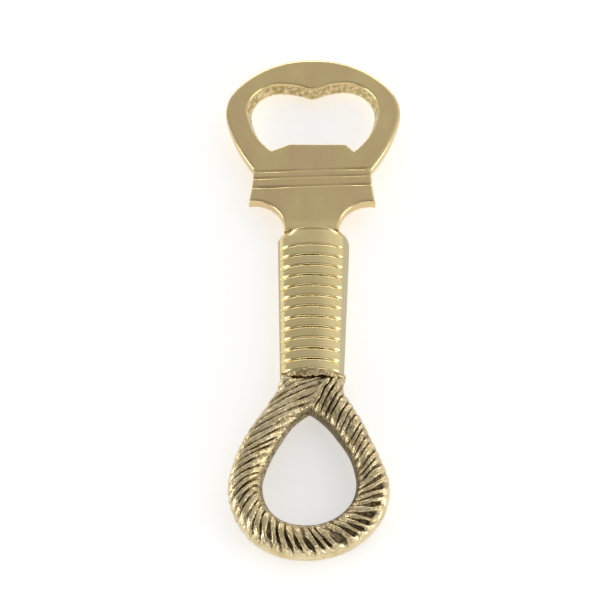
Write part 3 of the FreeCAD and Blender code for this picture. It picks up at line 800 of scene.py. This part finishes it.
# ---- Materials -----------------------------------------------------------------------------------
class Nodes:
    """A few short helpers round one material's node tree."""

    def __init__(self, name):
        self.material = bpy.data.materials.new(name)
        self.material.use_nodes = True
        self.tree = self.material.node_tree
        self.shader = self.tree.nodes["Principled BSDF"]
        self.place = self.add("ShaderNodeTexCoord").outputs["Object"]

    def add(self, kind, **inputs):
        node = self.tree.nodes.new(kind)
        for key, value in inputs.items():
            self.set(node, key.replace("_", " "), value)
        return node

    def set(self, node, key, value):
        if isinstance(value, bpy.types.NodeSocket):
            self.tree.links.new(value, node.inputs[key])
        else:
            node.inputs[key].default_value = value

    def noise(self, scale, detail=3.0, stretch=(1, 1, 1)):
        """Noise with lumps of about 1 / scale metres, stretched along the axes."""
        mapping = self.add("ShaderNodeMapping", Vector=self.place, Scale=stretch)
        made = self.add("ShaderNodeTexNoise", Vector=mapping.outputs[0], Scale=scale, Detail=detail)
        return made.outputs["Fac"]

    def ramp(self, value, *stops):
        node = self.add("ShaderNodeValToRGB", Fac=value)
        while len(node.color_ramp.elements) < len(stops):
            node.color_ramp.elements.new(0.5)
        for element, (position, colour) in zip(node.color_ramp.elements, stops):
            element.position = position
            element.color = (*colour, 1) if len(colour) == 3 else colour
        return node.outputs["Color"]

    def spread(self, value, low, high, start=0.3, end=0.7):
        """value from start to end becomes low to high."""
        node = self.add("ShaderNodeMapRange", Value=value)
        for key, number in (("From Min", start), ("From Max", end), ("To Min", low), ("To Max", high)):
            node.inputs[key].default_value = number
        return node.outputs[0]

    def plus(self, first, second):
        node = self.tree.nodes.new("ShaderNodeMath")
        self.tree.links.new(first, node.inputs[0])
        self.tree.links.new(second, node.inputs[1])
        return node.outputs[0]

    def mix(self, share, first, second):
        node = self.tree.nodes.new("ShaderNodeMix")
        node.data_type = "RGBA"
        for socket, value in ((node.inputs[0], share), (node.inputs[6], first), (node.inputs[7], second)):
            if isinstance(value, bpy.types.NodeSocket):
                self.tree.links.new(value, socket)
            else:
                socket.default_value = value
        return node.outputs[2]

    def bump(self, height, strength, distance, normal=None):
        node = self.add("ShaderNodeBump", Height=height, Strength=strength, Distance=distance)
        if normal is not None:
            self.tree.links.new(normal, node.inputs["Normal"])
        return node.outputs[0]

    def attribute(self, name):
        node = self.tree.nodes.new("ShaderNodeAttribute")
        node.attribute_name = name
        return node.outputs["Fac"]

    def finish(self, colour, roughness, normal):
        self.set(self.shader, "Base Color", colour)
        self.set(self.shader, "Roughness", roughness)
        self.set(self.shader, "Normal", normal)
        self.shader.inputs["Metallic"].default_value = 1.0
        return self.material


def satin_brass():
    """Flat satin plate: pale gold, faint clouds, fine cross scratches; rougher sawn opening walls."""
    n = Nodes("satin_brass")
    cloud = n.noise(110, 6, (1, 0.5, 1))
    clean = n.ramp(cloud, (0.38, (0.72, 0.545, 0.29)), (0.62, (0.78, 0.63, 0.305)))
    wall = n.attribute("mark_and_shade")
    rough_wall = n.ramp(n.noise(900, 5), (0.42, (0.30, 0.225, 0.10)), (0.60, (0.80, 0.68, 0.42)))
    colour = n.mix(n.spread(wall, 0.0, 0.9, 0.1, 1.0), clean, rough_wall)
    roughness = n.spread(wall, 0.24, 0.34, 0.1, 0.9)
    scratch = n.noise(2600, 2, (0.06, 1, 1))
    grain = n.noise(2200, 3)
    normal = n.bump(grain, 0.22, 0.00004, n.bump(scratch, 0.16, 0.00003))
    return n.finish(colour, roughness, normal)


def polished_brass():
    """Ribbed grip: brighter, with painted shade darkening the valleys, pores and collar foot, paler and
    duller where the mark is negative.
    """
    n = Nodes("polished_brass")
    cloud = n.noise(160, 4)
    clean = n.ramp(cloud, (0.3, (0.75, 0.61, 0.29)), (0.7, (0.80, 0.665, 0.35)))
    # marks above zero darken towards brown, as painted shade in the valleys, pores and collar foot
    mark_and_shade = n.spread(n.attribute("mark_and_shade"), 0.0, 0.75, 0.3, 1.0)
    clean = n.mix(n.spread(n.attribute("mark_and_shade"), 0.8, 0.0, -1.0, 0.0), clean, (0.42, 0.375, 0.27, 1))
    colour = n.mix(mark_and_shade, clean, (0.17, 0.135, 0.07, 1))
    roughness = n.spread(n.attribute("mark_and_shade"), 0.42, 0.19, -0.9, 0.0)
    lines = n.noise(3000, 2, (0.05, 1, 0.05))
    normal = n.bump(n.noise(700, 3), 0.10, 0.00008, n.bump(lines, 0.10, 0.00003))
    return n.finish(colour, roughness, normal)


def antiqued_brass():
    """Rope eye: bright worn ridges, brown patina in the hollows, painted shade on the inner walls, a rough
    cast skin.
    """
    n = Nodes("antiqued_brass")
    clean = n.ramp(n.noise(260, 5), (0.3, (0.59, 0.465, 0.235)), (0.7, (0.85, 0.72, 0.46)))
    patina = n.ramp(n.noise(900, 4), (0.3, (0.085, 0.065, 0.036)), (0.7, (0.26, 0.205, 0.12)))
    strand = n.add("ShaderNodeCombineXYZ", X=n.attribute("strand"), Y=n.attribute("strand_way"))
    stretch = n.add("ShaderNodeMapping", Vector=strand.outputs[0], Scale=(4.5, 0.8, 1))
    fibre = n.add("ShaderNodeTexNoise", Vector=stretch.outputs[0], Scale=1.0, Detail=4.0).outputs["Fac"]
    uneven = n.spread(n.plus(n.noise(1500, 4), fibre), 0.34, -0.34, 0.7, 1.3)
    # the mark is the patina in the hollows, the darker patches and the painted shade on the inner walls
    hollow = n.plus(n.attribute("mark_and_shade"), uneven)
    colour = n.mix(n.spread(hollow, 0.0, 0.95, 0.12, 0.75), clean, patina)
    roughness = n.spread(hollow, 0.20, 0.48, 0.0, 0.8)
    grain = n.bump(n.noise(2300, 4), 0.5, 0.00012, n.bump(n.noise(900, 3), 0.4, 0.00016))
    normal = n.bump(fibre, 0.8, 0.00022, grain)
    return n.finish(colour, roughness, normal)


def brazing_brass():
    """Bead and films of brazing metal: duller, lumpy, browner than the castings."""
    n = Nodes("brazing_brass")
    clean = n.ramp(n.noise(700, 5), (0.35, (0.34, 0.25, 0.12)), (0.65, (0.74, 0.60, 0.34)))
    colour = n.mix(n.spread(n.attribute("mark_and_shade"), 0.0, 0.8, 0.2, 0.8), clean, (0.10, 0.07, 0.035, 1))
    roughness = n.spread(n.noise(900, 4), 0.25, 0.5)
    return n.finish(colour, roughness, n.bump(n.noise(2600, 4), 0.6, 0.0001))


# ---- Floor, light and camera ---------------------------------------------------------------------
FLOOR_REACH = 3.0
FLOOR_GAP = 0.00005


def floor():
    """White paper that glows a little, as if it were lit from below."""
    z = CAD_BOX[0].z - FLOOR_GAP
    mesh = bpy.data.meshes.new("floor")
    corners = [(x * FLOOR_REACH, y * FLOOR_REACH, z) for x, y in ((-1, -1), (1, -1), (1, 1), (-1, 1))]
    mesh.from_pydata(corners, [], [(0, 1, 2, 3)])
    obj = bpy.data.objects.new("floor", mesh)
    bpy.context.scene.collection.objects.link(obj)
    material = bpy.data.materials.new("floor_paper")
    material.use_nodes = True
    shader = material.node_tree.nodes["Principled BSDF"]
    shader.inputs["Base Color"].default_value = (0.93, 0.93, 0.93, 1)
    shader.inputs["Roughness"].default_value = 0.9
    shader.inputs["Emission Color"].default_value = (1.0, 1.0, 1.0, 1)
    shader.inputs["Emission Strength"].default_value = 0.42
    mesh.materials.append(material)


def softbox(name, place, size, radiance):
    """A rectangular lamp that faces the origin, as bright as its radiance from anywhere in front."""
    data = bpy.data.lights.new(name, "AREA")
    data.shape = "RECTANGLE"
    data.size, data.size_y = size
    data.energy = radiance * math.pi * size[0] * size[1]
    obj = bpy.data.objects.new(name, data)
    obj.location = place
    obj.rotation_euler = Vector(place).to_track_quat("Z", "Y").to_euler()
    bpy.context.scene.collection.objects.link(obj)


def lights():
    """A grey room, darker on the side that the camera stands on, and low soft boxes all round."""
    world = bpy.data.worlds.new("studio")
    bpy.context.scene.world = world
    world.use_nodes = True
    tree = world.node_tree
    way = tree.nodes.new("ShaderNodeTexCoord")
    parts = tree.nodes.new("ShaderNodeSeparateXYZ")
    tree.links.new(way.outputs["Generated"], parts.inputs[0])
    total = tree.nodes.new("ShaderNodeMath")
    # brighter away from the camera's side, and brighter again on the right
    slopes = (("Y", (-0.7, 1.0, 0.26, 0.66)), ("X", (0.05, 0.75, 0.0, 0.32)))
    for number, (axis, limits) in enumerate(slopes):
        room = tree.nodes.new("ShaderNodeMapRange")
        tree.links.new(parts.outputs[axis], room.inputs["Value"])
        for key, value in zip(("From Min", "From Max", "To Min", "To Max"), limits):
            room.inputs[key].default_value = value
        tree.links.new(room.outputs[0], total.inputs[number])
    background = tree.nodes["Background"]
    background.inputs["Color"].default_value = (1.0, 1.0, 1.0, 1)
    tree.links.new(total.outputs[0], background.inputs["Strength"])
    softbox("softbox_back", (0.0, 1.2, 0.15), (1.6, 0.15), 5.0)
    softbox("softbox_left", (-1.10, -0.28, 0.26), (0.8, 0.35), 4.5)
    softbox("softbox_right", (1.10, -0.28, 0.26), (0.8, 0.35), 4.5)
    softbox("softbox_front", (0.0, -1.2, 0.42), (1.4, 0.30), 2.0)
    bpy.context.scene.view_settings.view_transform = "Standard"


CAMERA_TILT = math.radians(27)       # from straight above, towards the eye end
CAMERA_TURN = math.radians(1.93)
CAMERA_ROLL = math.radians(-1.37)
CAMERA_DISTANCE = 0.4433
CAMERA_TARGET = Vector((-0.00276, -0.00182, 0.0))
CAMERA_LENS = 106.65


def camera():
    tilt, turn, roll = CAMERA_TILT, CAMERA_TURN, CAMERA_ROLL
    back = Vector((math.sin(tilt) * math.sin(turn), -math.sin(tilt) * math.cos(turn), math.cos(tilt)))
    level = Vector((math.cos(turn), math.sin(turn), 0))
    rise = back.cross(level)
    right = math.cos(roll) * level + math.sin(roll) * rise
    up = -math.sin(roll) * level + math.cos(roll) * rise
    data = bpy.data.cameras.new("camera")
    data.sensor_width = 36
    data.lens = CAMERA_LENS
    data.clip_start = 0.01
    obj = bpy.data.objects.new("camera", data)
    turned = Matrix((right, up, back)).transposed().to_4x4()
    turned.translation = CAMERA_TARGET + back * CAMERA_DISTANCE
    obj.matrix_world = turned
    bpy.context.scene.collection.objects.link(obj)
    bpy.context.scene.camera = obj


opener_head(satin_brass())
ribbed_grip(polished_brass())
rope_loop(antiqued_brass())
braze = brazing_brass()
seam_bead(braze)
for film in ("head_joint_braze", "loop_joint_braze"):
    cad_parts[film].data.materials.clear()
    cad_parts[film].data.materials.append(braze)
floor()
lights()
camera()
